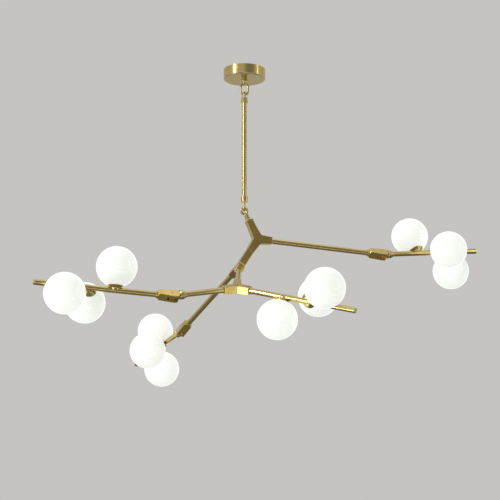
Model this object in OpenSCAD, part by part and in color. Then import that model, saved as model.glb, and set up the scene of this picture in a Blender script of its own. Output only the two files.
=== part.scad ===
// Branch chandelier: a ceiling canopy, a short drop rod hung on round links, a frame of three
// Y-shaped hubs, and four branches of three glass globes. Three branches bend at a knuckle.
// The origin is the centre of the canopy's ceiling face, and +Z is up.

/* [Canopy] */
// Diameter of the canopy
canopy_d = 134; // [120:1:160]
// Height of the canopy
canopy_h = 32; // [28:1:50]
// Sheet thickness of the canopy
canopy_wall = 1.5; // [1:0.1:2.5]
// Length of the slotted bar that is screwed to the ceiling
bracket_l = 108; // [100:1:108]
// Width of the slotted bar
bracket_w = 24; // [20:1:30]
// Thickness of the slotted bar
bracket_t = 3; // [2:0.5:4]
// Distance between the centres of the two slots
slot_spacing = 70; // [64:1:74]
// Length of one slot, end to end
slot_l = 20; // [12:1:22]
// Width of one slot
slot_w = 5; // [4:0.5:6]

/* [Links and drop rod] */
// Wire diameter of the ceiling eye, the rod's loops and the hub eye
link_wire = 7; // [6:0.5:7]
// Free gap between two linked wires
link_gap = 0.3; // [0.3:0.1:0.6]
// Outer width of the ceiling eye
ceiling_eye_w = 30; // [28:1:36]
// Height of the ceiling eye
ceiling_eye_h = 43; // [40:1:50]
// Length of the turned neck between the canopy and the ceiling eye
neck_l = 12; // [10:1:24]
// Outer width of the two loops on the drop rod
rod_loop_w = 22; // [22:1:25]
// Height of the upper loop above its collar
upper_loop_h = 19; // [19:1:24]
// Height of the lower loop below its collar
lower_loop_h = 30; // [28:1:36]
// Diameter of the collars where the drop rod enters them
collar_d = 23; // [20:1:25]
// Length of one collar
collar_l = 18; // [14:1:22]
// Diameter of the drop rod
drop_rod_d = 15.5; // [13:0.5:17]
// Visible length of the drop rod between its collars
drop_rod_l = 310; // [150:1:600]
// Outer width of the hub eye
hub_eye_w = 26; // [25:1:30]
// Distance from the centre of the hub eye to the first hub
hub_eye_l = 31.4; // [28:0.1:38]

/* [Hubs] */
// Thickness of a hub
hub_t = 22.5; // [20:0.5:26]
// Width of a hub's arms at their ends
hub_arm_w = 22.5; // [20:0.5:26]
// Width of a hub's arms where they meet
hub_root_w = 29; // [27:0.5:32]
// Length of the first hub's upper arm from its centre
hub_1_stem_l = 67; // [55:1:80]
// Length of the other hubs' upper arms from their centres
hub_stem_l = 62; // [50:1:70]
// Length of a hub's two branch arms from its centre
hub_arm_l = 46; // [40:1:60]
// Radius of the hollow corners between a hub's arms
hub_fillet = 8; // [4:1:12]
// Lean of the first hub's upper arm from upright, in degrees
frame_lean = 27.7; // [20:0.1:35]
// Direction of that lean around the drop rod, in degrees
frame_turn = 25; // [15:0.5:35]
// Turn of the first hub about its upper arm, in degrees
hub_1_turn = -7; // [-15:0.5:5]
// Turn of the second hub against the first, in degrees
hub_2_turn = 3.3; // [-5:0.1:10]
// Turn of the third hub against the second, in degrees
hub_3_turn = -145.3; // [-155:0.1:-135]
// Length of the round rod between the second and third hubs
link_rod_l = 151; // [130:1:180]

/* [Branches] */
// Diameter of the branch rods
rod_d = 17; // [15:0.5:17.5]
// Wall of the branch rods and the drop rod
rod_wall = 1.5; // [1:0.1:2]
// Length of the right inner rod
right_inner_l = 328; // [300:1:360]
// Length of the rear inner rod
rear_inner_l = 284; // [260:1:310]
// Length of the left inner rod
left_inner_l = 124; // [110:1:150]
// Length of the right and rear outer rods
outer_l = 332; // [320:1:360]
// Length of the left outer rod
left_outer_l = 352; // [340:1:380]
// Length of the front rod, which has no knuckle
front_l = 348; // [330:1:380]

/* [Knuckles] */
// Length of a knuckle between the visible ends of its two rods
knuckle_l = 92; // [88:1:100]
// Width of a knuckle's fork at its hinge, across the rod and the hinge screw
knuckle_w = 30; // [28:0.5:32]
// Width of a knuckle's fork at its rod
knuckle_end_w = 20; // [20:0.5:26]
// Thickness of a knuckle along its hinge screw
knuckle_t = 25; // [23:0.5:27]
// Thickness of the tongue inside the fork
tongue_t = 8; // [6:0.5:10]
// Diameter of the hinge screw
hinge_screw_d = 6; // [5:0.5:7]
// Running clearance around the hinge screw, on the radius
hinge_clearance = 0.05; // [0.02:0.01:0.09]
// Gap between the tongue and each cheek of the fork
cheek_gap = 0.3; // [0.3:0.05:0.5]
// Turn of the right knuckle's hinge about its inner rod, in degrees
right_hinge_turn = 134; // [125:1:145]
// Turn of the rear knuckle's hinge about its inner rod, in degrees
rear_hinge_turn = 165.8; // [155:0.1:175]
// Turn of the left knuckle's hinge about its inner rod, in degrees
left_hinge_turn = 155.2; // [145:0.1:165]
// Bend of the right knuckle as it is set, in degrees
right_bend = 13.7; // [0:0.1:25]
// Bend of the rear knuckle as it is set, in degrees
rear_bend = 14.9; // [0:0.1:25]
// Bend of the left knuckle as it is set, in degrees
left_bend = -18.5; // [-25:0.1:0]

/* [Globes] */
// Diameter of a globe
globe_d = 120; // [110:1:122]
// Thickness of the glass
glass_t = 2.2; // [1.5:0.1:3]
// Distance from the rod's axis to a globe's centre
globe_reach = 69; // [69:0.5:74]
// Spacing of the holders along a rod
globe_pitch = 76; // [72:1:84]
// Distance from the outermost holder to the rod's tip
tip_l = 80; // [70:1:90]
// Diameter of a holder's rim
holder_d = 47; // [42:1:50]
// Turn of the right branch's first globe about its rod, in degrees
right_globe_turn = -73.5; // [-90:0.5:-60]
// Turn of the rear branch's first globe about its rod, in degrees
rear_globe_turn = 134.5; // [120:0.5:150]
// Turn of the left branch's first globe about its rod, in degrees
left_globe_turn = 49; // [40:0.5:60]
// Turn of the front branch's first globe about its rod, in degrees
front_globe_turn = -30.5; // [-40:0.5:-20]

/* [Hidden] */
$fn = 64;
eps = 0.01;
globe_count = 3;
globe_step = 120;          // turn from one globe to the next about the rod
arm_angle = 30;            // a branch arm's slope below the line across the hub

// Links, from the ceiling down. Heights are those of wire centres unless the name says otherwise.
wire_r = link_wire / 2;
ceiling_eye_bottom = -(canopy_h + neck_l + ceiling_eye_h) + wire_r;
ceiling_eye_r = ceiling_eye_w / 2 - wire_r;
rod_loop_r = rod_loop_w / 2 - wire_r;
upper_loop_top = ceiling_eye_bottom + link_wire + link_gap;
upper_collar_top = upper_loop_top + wire_r - upper_loop_h;
lower_collar_bottom = upper_collar_top - 2 * collar_l - drop_rod_l;
lower_loop_bottom = lower_collar_bottom - lower_loop_h + wire_r;
hub_eye_top = lower_loop_bottom + link_wire + link_gap;
collar_socket = 8;         // depth to which the drop rod enters each collar
collar_end_r = 9.5;        // radius of a collar at its loop
loop_root = 4;             // length of the loops' legs inside the collars

// The hub eye lies in the plane of X and the first hub's upper arm, below its point of support.
hub_eye_r = hub_eye_w / 2 - wire_r;
hub_eye_tilt = atan(tan(frame_lean) * sin(frame_turn));
hub_eye_y = hub_eye_r * sin(hub_eye_tilt);
hub_eye_z = hub_eye_top - hub_eye_r * cos(hub_eye_tilt);
hub_eye_roll = atan2(-sin(frame_turn), cos(frame_turn) * cos(frame_lean));

// Nipple and nuts in the canopy
nipple_r = 5;
nipple_bore_r = 3.5;
nipple_depth = 6;          // length of the nipple inside the neck
neck_r = 9;
neck_end_r = 6;            // where the neck runs into the eye
neck_straight = 7;
nut_r = 9;
nut_h = 5;
nut_sides = 6;
canopy_edge_r = 3;
terminal_size = [30, 14, 12];
terminal_y = 34;
terminal_pitch = 10;
terminal_screw_r = 2;
terminal_screw_depth = 4;

// Hubs
channel_r = 4.5;           // wire channel along each arm
wire_pocket_r = 5.4;       // round pocket where the channels meet
face_screw_r = 4.5;
face_screw_h = 1.6;
face_screw_shank_r = 2.5;
face_screw_depth = 5;
face_screw_slot = 1;
channel_start = 2;         // distance of a channel's end from the hub's centre
spigot_l = 12;             // length of a joining nipple inside a rod
spigot_hub_l = 10;         // length of a joining nipple inside a hub
spigot_bore_r = 2.5;

// Branch rods
rod_r = rod_d / 2;
rod_bore_r = rod_r - rod_wall;
rod_entry = 12;            // length of a rod inside a knuckle
cap_h = 5;
cap_edge = 2;
cap_lip = 6;

// Knuckles: z runs outward along the rod and x along the hinge screw.
half_l = knuckle_l / 2;
ear_reach = 24;            // reach of the fork's cheeks beyond the hinge
ear_r = 16;                // radius of the cheeks' rounded ends
shoulder_gap = 0.8;        // between the cheeks and the tongue's shoulder
shoulder = ear_reach + shoulder_gap;
tongue_r = 12;
tongue_waist = 10;         // half width of the tongue between its round end and its shoulder
tongue_root = 4;           // length of the tongue inside the turned body
fork_root = tongue_r + 1.5;
ring_r = rod_r + 2.5;
ring_l = 5;
fork_taper_l = 8;          // length over which the fork's corners run in to the ring
knuckle_body_r = 14;
body_edge = 3;
screw_head_r = 4.5;
screw_head_h = 2.5;
screw_slot = 1.2;
grub_r = 2;
grub_l = 3.8;
grub_hex_r = 1.1;
grub_hex_depth = 1.5;
grub_in = 4;               // distance of a headless screw from the end of the rod it holds

// Globes and holders: z runs from the rod's axis to the globe's centre.
globe_r = globe_d / 2;
holder_r = holder_d / 2;
holder_base_r = 12;
glass_gap = 0.1;
holder_rim_z = globe_reach - sqrt(pow(globe_r + glass_gap, 2) - pow(holder_r, 2));
holder_floor_z = rod_r + 1.6;
holder_base_z = rod_r - 2; // where the bowl starts to widen
holder_lip = 1.2;
neck_out_r = 15.5;
neck_in_r = 13;
neck_clearance = 0.1;
neck_h = 12;
socket_nipple_r = 3.5;
socket_flange_r = 12.5;
socket_flange_h = 2;
socket_r = 9;
socket_top_z = 36;
socket_bore_r = 2;
pin_x = 5;                 // distance of a bulb's pins from its axis
pin_r = 1;
pin_l = 5;
pin_hole_r = 1.2;
pin_hole_l = 6;
bulb_r = 8;
bulb_top_z = 64;

brass = "goldenrod";
copper = "peru";
steel = "silver";

function move(v) = [[1, 0, 0, v[0]], [0, 1, 0, v[1]], [0, 0, 1, v[2]], [0, 0, 0, 1]];
function turn_x(a) = [[1, 0, 0, 0], [0, cos(a), -sin(a), 0], [0, sin(a), cos(a), 0], [0, 0, 0, 1]];
function turn_y(a) = [[cos(a), 0, sin(a), 0], [0, 1, 0, 0], [-sin(a), 0, cos(a), 0], [0, 0, 0, 1]];
function turn_z(a) = [[cos(a), -sin(a), 0, 0], [sin(a), cos(a), 0, 0], [0, 0, 1, 0], [0, 0, 0, 1]];
function along(l) = move([0, 0, l]);

// A hub's frame has z square to its faces and y along its upper arm. A rod's frame has z outward
// along the rod and x square to the hub's faces.
right_arm = -arm_angle;
left_arm = 180 + arm_angle;
function arm(hub, angle) = hub * turn_z(angle) * turn_y(90);
function next_hub(rod, reach, angle) =
    rod * along(reach + hub_stem_l) * turn_z(angle) * turn_x(-90);

eye_at = move([0, hub_eye_y, hub_eye_z]) * turn_z(frame_turn) * turn_y(-frame_lean);
hub_1_at = eye_at * turn_z(hub_1_turn) * along(-hub_eye_l - hub_1_stem_l) * turn_x(90);
hub_2_at = next_hub(arm(hub_1_at, left_arm), hub_arm_l, hub_2_turn);
hub_3_at = next_hub(arm(hub_2_at, left_arm), hub_arm_l + link_rod_l, hub_3_turn);

right_rod_at = arm(hub_1_at, right_arm) * along(hub_arm_l);
rear_rod_at = arm(hub_2_at, right_arm) * along(hub_arm_l);
link_rod_at = arm(hub_2_at, left_arm) * along(hub_arm_l);
left_rod_at = arm(hub_3_at, left_arm) * along(hub_arm_l);
front_rod_at = arm(hub_3_at, right_arm) * along(hub_arm_l);

function hinge(rod, inner_l, angle) = rod * along(inner_l + half_l) * turn_z(angle);
right_hinge_at = hinge(right_rod_at, right_inner_l, right_hinge_turn);
rear_hinge_at = hinge(rear_rod_at, rear_inner_l, rear_hinge_turn);
left_hinge_at = hinge(left_rod_at, left_inner_l, left_hinge_turn);

// One row per jointed branch: name, hinge's frame as it is bent, outer rod's length, first
// globe's turn
BRANCHES = [
    ["right", right_hinge_at * turn_x(right_bend), outer_l, right_globe_turn],
    ["rear", rear_hinge_at * turn_x(rear_bend), outer_l, rear_globe_turn],
    ["left", left_hinge_at * turn_x(left_bend), left_outer_l, left_globe_turn],
];

// A fork's rod is on its +z side and a tongue's is on its -z side. The right and rear knuckles
// have their forks on the inner rods, and the left one has its fork on the outer rod.
back = turn_x(180);
right_fork_at = right_hinge_at * back;
rear_fork_at = rear_hinge_at * back;
left_fork_at = BRANCHES[2][1];
right_tongue_at = BRANCHES[0][1] * back;
rear_tongue_at = BRANCHES[1][1] * back;
left_tongue_at = left_hinge_at;

// A globe row starts where its rod becomes visible: frame, rod length, first globe's turn.
function row_of(branch) = [branch[1] * along(half_l), branch[2], branch[3]];
front_row = [front_rod_at, front_l, front_globe_turn];
function holder_at(row, i) =
    row[0] * along(row[1] - tip_l - globe_pitch * (globe_count - 1 - i))
           * turn_z(row[2] + globe_step * i) * turn_y(90);

BRANCH_PARTS = ["outer_rod", "end_cap", "holders", "sockets", "bulbs", "globe_1", "globe_2", "globe_3"];

// ---- shared shapes ----

module tube(outer_r, bore_r, l) {
    difference() {
        cylinder(r = outer_r, h = l);
        translate([0, 0, -1]) cylinder(r = bore_r, h = l + 2);
    }
}

// A ring of round wire in the XZ plane, centred on the origin
module wire_ring(ring_r, wire_r) {
    rotate([90, 0, 0]) rotate_extrude() translate([ring_r, 0]) circle(r = wire_r, $fn = 32);
}

// The upper or lower half of that ring
module half_ring(ring_r, wire_r, up) {
    intersection() {
        wire_ring(ring_r, wire_r);
        translate([-2 * ring_r, -2 * wire_r, up ? 0 : -3 * ring_r])
            cube([4 * ring_r, 4 * wire_r, 3 * ring_r]);
    }
}

// A U of wire in the YZ plane on a bored collar that narrows towards it: the collar's outer face
// is at z = 0, and the U stands h above it.
module loop_and_collar(h) {
    bow_z = h - wire_r - rod_loop_r;
    rotate([0, 0, 90]) translate([0, 0, bow_z]) half_ring(rod_loop_r, wire_r, true);
    for (side = [-1, 1])
        translate([0, side * rod_loop_r, -loop_root])
            cylinder(r = wire_r, h = bow_z + loop_root, $fn = 32);
    difference() {
        translate([0, 0, -collar_l]) cylinder(r1 = collar_d / 2, r2 = collar_end_r, h = collar_l);
        translate([0, 0, -collar_l - 1]) cylinder(r = drop_rod_d / 2, h = collar_socket + 1);
        translate([0, 0, -collar_l]) cylinder(r = nipple_bore_r, h = collar_l + 1);
    }
}

// ---- canopy and ceiling fixing ----

module slot(x) {
    for (side = [-1, 1])
        translate([x + side * (slot_l - slot_w) / 2, 0, -bracket_t - 1])
            cylinder(r = slot_w / 2, h = bracket_t + 2);
    translate([x - (slot_l - slot_w) / 2, -slot_w / 2, -bracket_t - 1])
        cube([slot_l - slot_w, slot_w, bracket_t + 2]);
}

module ceiling_bracket() {
    color(steel) difference() {
        translate([-bracket_l / 2, -bracket_w / 2, -bracket_t])
            cube([bracket_l, bracket_w, bracket_t]);
        for (side = [-1, 1]) slot(side * slot_spacing / 2);
        translate([0, 0, -bracket_t - 1]) cylinder(r = nipple_r, h = bracket_t + 2);
    }
}

module canopy_profile(r, h, edge_r) {
    square([r - edge_r, h]);
    translate([0, edge_r]) square([r, h - edge_r]);
    translate([r - edge_r, edge_r]) circle(r = edge_r);
}

module canopy() {
    color(brass) translate([0, 0, -canopy_h]) difference() {
        rotate_extrude($fn = 96) canopy_profile(canopy_d / 2, canopy_h, canopy_edge_r);
        translate([0, 0, canopy_wall]) rotate_extrude($fn = 96)
            canopy_profile(canopy_d / 2 - canopy_wall, canopy_h, canopy_edge_r - canopy_wall);
        translate([0, 0, -1]) cylinder(r = nipple_r, h = canopy_wall + 2);
    }
}

module canopy_nipple() {
    color(steel) translate([0, 0, -canopy_h - nipple_depth])
        tube(nipple_r, nipple_bore_r, canopy_h + nipple_depth - bracket_t / 2);
}

module hex_nut() {
    difference() {
        cylinder(r = nut_r, h = nut_h, $fn = nut_sides);
        translate([0, 0, -1]) cylinder(r = nipple_r, h = nut_h + 2);
    }
}

module nipple_nuts() {
    color(steel) {
        translate([0, 0, -bracket_t - nut_h]) hex_nut();
        translate([0, 0, -canopy_h + canopy_wall]) hex_nut();
    }
}

module terminal_block() {
    color("whitesmoke") translate([0, terminal_y, -canopy_h + canopy_wall]) difference() {
        translate([-terminal_size[0] / 2, -terminal_size[1] / 2, 0]) cube(terminal_size);
        for (i = [-1:1])
            translate([i * terminal_pitch, 0, terminal_size[2] - terminal_screw_depth])
                cylinder(r = terminal_screw_r, h = terminal_screw_depth + 1);
    }
}

module ceiling_eye() {
    straight = ceiling_eye_h - ceiling_eye_w;
    color(brass) {
        translate([0, 0, -canopy_h]) difference() {
            union() {
                translate([0, 0, -neck_straight]) cylinder(r = neck_r, h = neck_straight);
                translate([0, 0, -neck_l - wire_r])
                    cylinder(r1 = neck_end_r, r2 = neck_r, h = neck_l + wire_r - neck_straight);
            }
            translate([0, 0, -nipple_depth]) cylinder(r = nipple_r, h = nipple_depth + 1);
        }
        translate([0, 0, ceiling_eye_bottom + ceiling_eye_r])
            half_ring(ceiling_eye_r, wire_r, false);
        translate([0, 0, ceiling_eye_bottom + ceiling_eye_r + straight])
            half_ring(ceiling_eye_r, wire_r, true);
        for (side = [-1, 1])
            translate([side * ceiling_eye_r, 0, ceiling_eye_bottom + ceiling_eye_r])
                cylinder(r = wire_r, h = straight, $fn = 32);
    }
}

// ---- drop rod ----

module drop_rod() {
    color(brass) translate([0, 0, lower_collar_bottom + collar_l - collar_socket])
        tube(drop_rod_d / 2, drop_rod_d / 2 - rod_wall, drop_rod_l + 2 * collar_socket);
}

module rod_loops() {
    color(brass) {
        translate([0, 0, upper_collar_top]) loop_and_collar(upper_loop_h);
        translate([0, 0, lower_collar_bottom]) mirror([0, 0, 1]) loop_and_collar(lower_loop_h);
    }
}

// ---- hubs ----

// A ring on a shank that tapers down to a flange on the first hub
module hub_eye() {
    shank_r = 8.5;
    shank_end_r = 7;
    flange_r = 9.5;
    flange_h = 4;
    color(brass) multmatrix(eye_at) {
        rotate([0, 0, hub_eye_roll]) wire_ring(hub_eye_r, wire_r);
        translate([0, 0, -hub_eye_l])
            cylinder(r1 = shank_r, r2 = shank_end_r, h = hub_eye_l - hub_eye_r);
        translate([0, 0, -hub_eye_l]) cylinder(r = flange_r, h = flange_h);
        translate([0, 0, -hub_eye_l - spigot_hub_l])
            cylinder(r = channel_r, h = spigot_hub_l + eps);
    }
}

// The outline goes round the hub corner by corner: the hollow corner on each bisector, then the
// arm that follows it, which narrows up to a short straight end. A corner's arc touches the sides
// of the arms next to it.
corner_steps = 8;
arm_bisector = 60;         // angle between an arm and the bisector of a corner beside it
taper_l = hub_arm_l - 2;   // where the straight end of an arm begins
arm_taper = atan((hub_root_w - hub_arm_w) / 2 / (taper_l - hub_root_w / 2 / tan(arm_bisector)));
corner_reach = hub_root_w / 2 / sin(arm_bisector) + hub_fillet / sin(arm_bisector + arm_taper);
corner_sweep = 2 * (arm_angle - arm_taper);
function hub_corners(stem_l) =
    [[arm_angle, stem_l], [180 - arm_angle, hub_arm_l], [270, hub_arm_l]];
function polar(r, a) = [r * cos(a), r * sin(a)];
function hollow_corner(bisector) = [for (i = [0:corner_steps])
    polar(corner_reach, bisector)
        + polar(hub_fillet, bisector + 180 + corner_sweep * (1 / 2 - i / corner_steps))];
function arm_end(angle, l) = [for (p = [[taper_l, -1], [l, -1], [l, 1], [taper_l, 1]])
    polar(p[0], angle) + polar(p[1] * hub_arm_w / 2, angle + 90)];

module hub_blank(stem_l) {
    linear_extrude(height = hub_t)
        polygon([for (c = hub_corners(stem_l))
            each concat(hollow_corner(c[0]), arm_end(c[0] + arm_bisector, c[1]))]);
}

module hub(at, stem_l) {
    color(brass) multmatrix(at) difference() {
        translate([0, 0, -hub_t / 2]) hub_blank(stem_l);
        sphere(r = wire_pocket_r);
        for (a = [right_arm, 90, left_arm])
            rotate([0, 90, a]) translate([0, 0, channel_start]) cylinder(r = channel_r, h = stem_l);
        translate([0, 0, hub_t / 2 - face_screw_depth])
            cylinder(r = face_screw_shank_r, h = face_screw_depth + 1);
    }
}

module hub_1() { hub(hub_1_at, hub_1_stem_l); }
module hub_2() { hub(hub_2_at, hub_stem_l); }
module hub_3() { hub(hub_3_at, hub_stem_l); }

module face_screw() {
    difference() {
        translate([0, 0, hub_t / 2]) cylinder(r = face_screw_r, h = face_screw_h);
        translate([-face_screw_r - 1, -face_screw_slot / 2, hub_t / 2 + face_screw_h / 2])
            cube([2 * face_screw_r + 2, face_screw_slot, face_screw_h]);
    }
    translate([0, 0, hub_t / 2 - face_screw_depth])
        cylinder(r = face_screw_shank_r, h = face_screw_depth + eps);
}

module hub_screws() {
    color(copper) for (at = [hub_1_at, hub_2_at, hub_3_at]) multmatrix(at) face_screw();
}

// A stepped nipple: the thin end is in a hub and the wide end in a rod that starts at z = 0.
module spigot() {
    difference() {
        union() {
            translate([0, 0, -spigot_hub_l]) cylinder(r = channel_r, h = spigot_hub_l + eps);
            cylinder(r = rod_bore_r, h = spigot_l);
        }
        translate([0, 0, -spigot_hub_l - 1])
            cylinder(r = spigot_bore_r, h = spigot_hub_l + spigot_l + 2);
    }
}

module joining_nipples() {
    color(steel) {
        for (at = [right_rod_at, rear_rod_at, link_rod_at, left_rod_at, front_rod_at])
            multmatrix(at) spigot();
        multmatrix(link_rod_at * along(link_rod_l)) mirror([0, 0, 1]) spigot();
        multmatrix(arm(hub_1_at, left_arm) * along(hub_arm_l - spigot_hub_l))
            tube(channel_r, spigot_bore_r, 2 * spigot_hub_l);
    }
}

module link_rod() {
    color(brass) multmatrix(link_rod_at) tube(rod_r, rod_bore_r, link_rod_l);
}

// ---- inner rods and knuckles ----

module inner_rod(at, l) {
    color(brass) multmatrix(at) tube(rod_r, rod_bore_r, l + rod_entry);
}

module right_inner_rod() { inner_rod(right_rod_at, right_inner_l); }
module rear_inner_rod() { inner_rod(rear_rod_at, rear_inner_l); }
module left_inner_rod() { inner_rod(left_rod_at, left_inner_l); }

// A threaded hole across a knuckle's wall, and the headless screw in it
module grub_hole(z) {
    translate([0, 0, z]) rotate([0, -90, 0]) cylinder(r = grub_r, h = 3 * rod_r);
}

module grub_screw(z) {
    translate([0, 0, z]) rotate([0, -90, 0]) difference() {
        translate([0, 0, rod_r]) cylinder(r = grub_r, h = grub_l);
        translate([0, 0, rod_r + grub_l - grub_hex_depth])
            cylinder(r = grub_hex_r, h = grub_hex_depth + 1, $fn = 6);
    }
}

// The short half of a knuckle: a ring round the rod, a turned body and a flat tongue
module tongue(at) {
    body_l = half_l - ring_l - shoulder;
    color(brass) multmatrix(at) difference() {
        union() {
            translate([0, 0, -half_l]) cylinder(r = ring_r, h = ring_l + eps);
            translate([0, 0, -half_l + ring_l]) {
                cylinder(r1 = ring_r, r2 = knuckle_body_r, h = body_edge);
                translate([0, 0, body_edge])
                    cylinder(r = knuckle_body_r, h = body_l - 2 * body_edge);
                translate([0, 0, body_l - body_edge])
                    cylinder(r1 = knuckle_body_r, r2 = knuckle_body_r - body_edge, h = body_edge);
            }
            rotate([0, 90, 0]) translate([0, 0, -tongue_t / 2])
                cylinder(r = tongue_r, h = tongue_t);
            translate([-tongue_t / 2, -tongue_waist, -shoulder - tongue_root])
                cube([tongue_t, 2 * tongue_waist, shoulder + tongue_root]);
        }
        rotate([0, 90, 0]) translate([0, 0, -tongue_t])
            cylinder(r = hinge_screw_d / 2 + hinge_clearance, h = 2 * tongue_t);
        translate([0, 0, -half_l - 1]) cylinder(r = rod_r, h = rod_entry + 1);
        grub_hole(-half_l + rod_entry - grub_in);
    }
}

module right_tongue() { tongue(right_tongue_at); }
module rear_tongue() { tongue(rear_tongue_at); }
module left_tongue() { tongue(left_tongue_at); }

// The long half's outline across the hinge screw: round ends beyond the hinge, then a taper
module fork_outline() {
    body_end = half_l - ring_l;
    intersection() {
        polygon([[-knuckle_w / 2, -ear_reach], [knuckle_w / 2, -ear_reach], [knuckle_w / 2, 0],
                 [knuckle_end_w / 2, body_end], [-knuckle_end_w / 2, body_end], [-knuckle_w / 2, 0]]);
        union() {
            translate([0, ear_r - ear_reach]) circle(r = ear_r);
            translate([-knuckle_w, ear_r - ear_reach])
                square([2 * knuckle_w, body_end + ear_reach - ear_r]);
        }
    }
}

// The long half of a knuckle: two cheeks on a block that narrows to a ring round the rod
module fork(at) {
    flat_l = half_l - ring_l - fork_taper_l;
    corner_r = norm([knuckle_w, knuckle_t]) / 2 + 1;
    cheek_x = tongue_t / 2 + cheek_gap;
    color(brass) multmatrix(at) difference() {
        union() {
            intersection() {
                rotate([90, 0, 90]) translate([0, 0, -knuckle_t / 2])
                    linear_extrude(height = knuckle_t) fork_outline();
                union() {
                    translate([0, 0, -ear_reach]) cylinder(r = corner_r, h = ear_reach + flat_l);
                    translate([0, 0, flat_l]) cylinder(r1 = corner_r, r2 = ring_r, h = fork_taper_l);
                }
            }
            translate([0, 0, half_l - ring_l - eps]) cylinder(r = ring_r, h = ring_l + eps);
        }
        translate([-cheek_x, -knuckle_w, -ear_reach - 1])
            cube([2 * cheek_x, 2 * knuckle_w, ear_reach + 1 + fork_root]);
        rotate([0, 90, 0]) translate([0, 0, -knuckle_t])
            cylinder(r = hinge_screw_d / 2 + hinge_clearance, h = 2 * knuckle_t);
        rotate([0, 90, 0]) translate([0, 0, knuckle_t / 2 - screw_head_h])
            cylinder(r = screw_head_r + hinge_clearance, h = screw_head_h + 1);
        translate([0, 0, half_l - rod_entry]) cylinder(r = rod_r, h = rod_entry + 1);
        translate([0, 0, fork_root - 1]) cylinder(r = channel_r, h = half_l);
        grub_hole(half_l - rod_entry + grub_in);
    }
}

module right_fork() { fork(right_fork_at); }
module rear_fork() { fork(rear_fork_at); }
module left_fork() { fork(left_fork_at); }

// A fork's slotted hinge screw and its headless screw
module fork_screws(at) {
    multmatrix(at) {
        rotate([0, 90, 0]) {
            translate([0, 0, -knuckle_t / 2])
                cylinder(r = hinge_screw_d / 2, h = knuckle_t - screw_head_h + eps);
            difference() {
                translate([0, 0, knuckle_t / 2 - screw_head_h])
                    cylinder(r = screw_head_r, h = screw_head_h);
                translate([-screw_slot / 2, -screw_head_r - 1, knuckle_t / 2 - screw_slot])
                    cube([screw_slot, 2 * screw_head_r + 2, screw_slot + 1]);
            }
        }
        grub_screw(half_l - rod_entry + grub_in);
    }
}

module tongue_screw(at) { multmatrix(at) grub_screw(-half_l + rod_entry - grub_in); }

module frame_knuckle_screws() {
    color(copper) {
        fork_screws(right_fork_at);
        fork_screws(rear_fork_at);
        tongue_screw(left_tongue_at);
    }
}

module left_knuckle_screws() { color(copper) fork_screws(left_fork_at); }
module right_grub_screw() { color(copper) tongue_screw(right_tongue_at); }
module rear_grub_screw() { color(copper) tongue_screw(rear_tongue_at); }

// ---- rods that carry globes ----

// Side holes for the holders' nipples, along a rod whose visible part starts at the row's frame
module drilled_rod(row, entry) {
    color(brass) difference() {
        multmatrix(row[0] * along(-entry)) tube(rod_r, rod_bore_r, row[1] + entry);
        for (i = [0:globe_count - 1])
            multmatrix(holder_at(row, i)) cylinder(r = socket_nipple_r, h = 2 * rod_r);
    }
}

module outer_rod(branch) { drilled_rod(row_of(branch), rod_entry); }
module front_rod() { drilled_rod(front_row, 0); }

module rod_end_cap(row) {
    color(brass) multmatrix(row[0] * along(row[1])) {
        translate([0, 0, -cap_lip]) cylinder(r = rod_bore_r, h = cap_lip + eps);
        cylinder(r = rod_r, h = cap_h - cap_edge);
        translate([0, 0, cap_h - cap_edge]) cylinder(r1 = rod_r, r2 = rod_r - cap_edge, h = cap_edge);
    }
}

module end_cap(branch) { rod_end_cap(row_of(branch)); }
module front_end_cap() { rod_end_cap(front_row); }

// ---- holders, sockets, bulbs and globes ----

// A shallow bowl that sits on the rod as a saddle and takes the globe's neck
module holder() {
    difference() {
        union() {
            cylinder(r = holder_base_r, h = holder_floor_z);
            translate([0, 0, holder_base_z]) cylinder(
                r1 = holder_base_r, r2 = holder_r + holder_lip, h = holder_rim_z - holder_base_z);
        }
        rotate([0, 90, 0]) cylinder(r = rod_r, h = 4 * holder_r, center = true);
        translate([0, 0, globe_reach]) sphere(r = globe_r + glass_gap, $fn = 96);
        translate([0, 0, holder_floor_z]) cylinder(r = neck_out_r + neck_clearance, h = globe_r);
        cylinder(r = socket_nipple_r, h = globe_r);
    }
}

module socket() {
    difference() {
        union() {
            translate([0, 0, rod_bore_r])
                cylinder(r = socket_nipple_r, h = holder_floor_z - rod_bore_r + eps);
            translate([0, 0, holder_floor_z]) cylinder(r = socket_flange_r, h = socket_flange_h);
            translate([0, 0, holder_floor_z]) cylinder(r = socket_r, h = socket_top_z - holder_floor_z);
        }
        translate([0, 0, rod_bore_r - 1]) cylinder(r = socket_bore_r, h = holder_floor_z);
        for (side = [-1, 1])
            translate([side * pin_x, 0, socket_top_z - pin_hole_l])
                cylinder(r = pin_hole_r, h = pin_hole_l + 1);
    }
}

module bulb() {
    translate([0, 0, socket_top_z]) cylinder(r = bulb_r, h = bulb_top_z - bulb_r - socket_top_z);
    translate([0, 0, bulb_top_z - bulb_r]) sphere(r = bulb_r);
    for (side = [-1, 1])
        translate([side * pin_x, 0, socket_top_z - pin_l]) cylinder(r = pin_r, h = pin_l + eps);
}

module globe() {
    inner_r = globe_r - glass_t;
    difference() {
        union() {
            translate([0, 0, globe_reach]) sphere(r = globe_r, $fn = 96);
            translate([0, 0, holder_floor_z]) cylinder(r = neck_out_r, h = neck_h);
        }
        translate([0, 0, globe_reach]) sphere(r = inner_r, $fn = 96);
        cylinder(r = neck_in_r, h = globe_reach / 2);
    }
}

module in_each_holder(row) {
    for (i = [0:globe_count - 1]) multmatrix(holder_at(row, i)) children();
}

module holders(branch) { color(brass) in_each_holder(row_of(branch)) holder(); }
module sockets(branch) { color("ivory") in_each_holder(row_of(branch)) socket(); }
module bulbs(branch) { color("lightyellow") in_each_holder(row_of(branch)) bulb(); }
module branch_globe(row, i) { color("mintcream") multmatrix(holder_at(row, i)) globe(); }

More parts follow.
